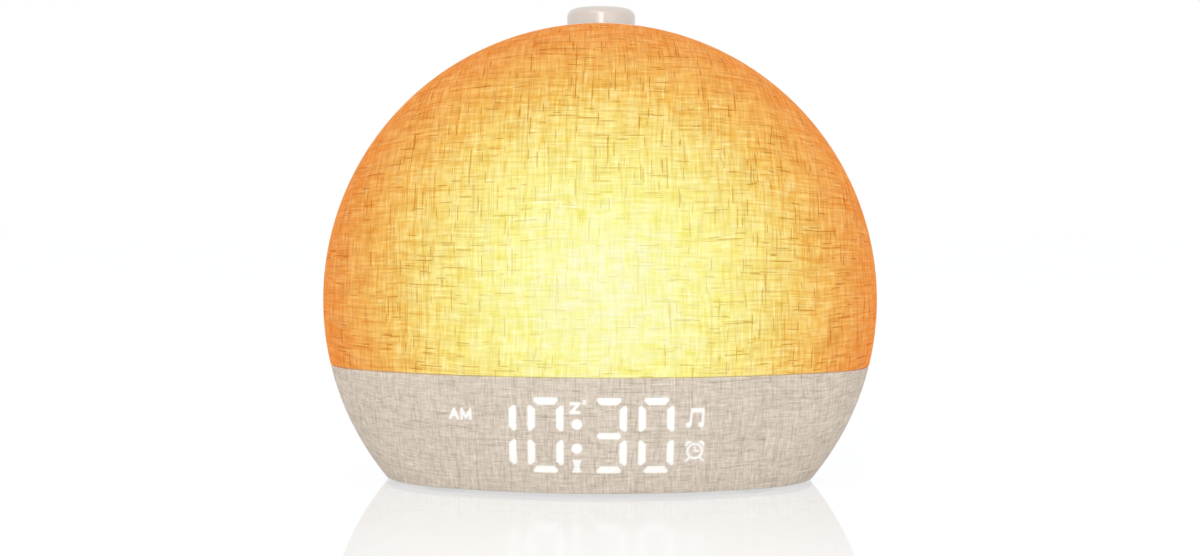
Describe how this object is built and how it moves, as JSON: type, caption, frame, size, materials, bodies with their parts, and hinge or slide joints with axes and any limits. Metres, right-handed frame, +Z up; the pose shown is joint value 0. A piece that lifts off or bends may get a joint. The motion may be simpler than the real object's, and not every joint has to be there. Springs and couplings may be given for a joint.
{
  "type": "sunrise alarm clock",
  "caption": "Round bedside wake-up light with a fabric-covered glowing dome, a time display behind the linen base and a push-and-turn top knob.",
  "frame": {"origin": "on the table, under the middle of the object's box", "axes": "+Z up, -Y towards the front with the display, +X to the right seen from the front"},
  "size_m": [0.18, 0.088, 0.1543],
  "materials": {
    "dome_linen": "linen weave, lit from behind",
    "base_linen": "fine linen weave",
    "milky_plastic": "translucent milky",
    "white_plastic": "matte moulded",
    "shell_plastic": "matte moulded",
    "cream_plastic": "fine satin moulded",
    "knob_plastic": "smooth satin gloss",
    "button_plastic": "satin moulded",
    "black_plastic": "matte moulded",
    "light_guide": "milky cast resin",
    "circuit_board": "solder mask",
    "led_package": "moulded lens",
    "screw_steel": "zinc plated",
    "shaft_steel": "turned and nickel plated",
    "cell_steel": "nickel plated",
    "basket_steel": "black lacquer",
    "magnet": "plated",
    "cone_paper": "treated paper",
    "foam": "closed cell foam",
    "foot_rubber": "matte",
    "ribbon": "flat cable"
  },
  "bodies": {
    "housing": {"dome_fabric": "dome_linen", "base_fabric": "base_linen", "light_dome": "milky_plastic", "base_front_shell": "shell_plastic", "chassis": "white_plastic", "rim_band": "cream_plastic", "back_cover": "cream_plastic", "bottom_plate": "cream_plastic", "rubber_feet": "foot_rubber", "underside_screws": "screw_steel", "cover_screws": "screw_steel", "encoder_housing": "black_plastic", "press_dome": "shaft_steel", "encoder_board": "circuit_board", "encoder_screws": "screw_steel", "segment_guides": "light_guide", "display_mask": "black_plastic", "display_board": "circuit_board", "lamp_board": "circuit_board", "lamp_leds": "led_package", "main_board": "circuit_board", "main_board_screws": "screw_steel", "board_chips": "black_plastic", "coin_cell": "cell_steel", "cell_holder": "black_plastic", "tact_switches": "black_plastic", "power_inlet": "black_plastic", "speaker_gasket": "foam", "speaker_frame": "basket_steel", "speaker_magnet": "magnet", "speaker_cone": "cone_paper", "speaker_screws": "screw_steel", "speaker_grille": "cream_plastic", "ribbon_sockets": "white_plastic", "display_ribbon": "ribbon", "lamp_ribbon": "ribbon", "encoder_ribbon": "ribbon", "speaker_lead": "ribbon"},
    "knob": {"knob_cap": "knob_plastic", "encoder_shaft": "shaft_steel"},
    "rotor": {"encoder_rotor": "black_plastic"},
    "alarm": {"alarm_button": "button_plastic"},
    "sound": {"sound_button": "button_plastic"},
    "timer": {"timer_button": "button_plastic"},
    "light": {"light_button": "button_plastic"},
    "volume_down": {"volume_down_button": "button_plastic"},
    "volume_up": {"volume_up_button": "button_plastic"}
  },
  "joints": [
    {"name": "knob_turn", "type": "hinge", "parent": "housing", "child": "rotor", "pos_m": [0, 0.018, 0.135], "axis": [0, 0, 1], "continuous": true},
    {"name": "knob_press", "type": "slide", "parent": "rotor", "child": "knob", "axis": [0, 0, -1], "range_m": [0, 0.0005], "stiffness_N_per_m": 1500},
    {"name": "alarm_press", "type": "slide", "parent": "housing", "child": "alarm", "axis": [0, -1, 0], "range_m": [0, 0.0005], "stiffness_N_per_m": 1200},
    {"name": "sound_press", "type": "slide", "parent": "housing", "child": "sound", "axis": [0, -1, 0], "range_m": [0, 0.0005], "stiffness_N_per_m": 1200},
    {"name": "timer_press", "type": "slide", "parent": "housing", "child": "timer", "axis": [0, -1, 0], "range_m": [0, 0.0005], "stiffness_N_per_m": 1200},
    {"name": "light_press", "type": "slide", "parent": "housing", "child": "light", "axis": [0, -1, 0], "range_m": [0, 0.0005], "stiffness_N_per_m": 1200},
    {"name": "volume_down_press", "type": "slide", "parent": "housing", "child": "volume_down", "axis": [0, -1, 0], "range_m": [0, 0.0005], "stiffness_N_per_m": 1200},
    {"name": "volume_up_press", "type": "slide", "parent": "housing", "child": "volume_up", "axis": [0, -1, 0], "range_m": [0, 0.0005], "stiffness_N_per_m": 1200}
  ]
}
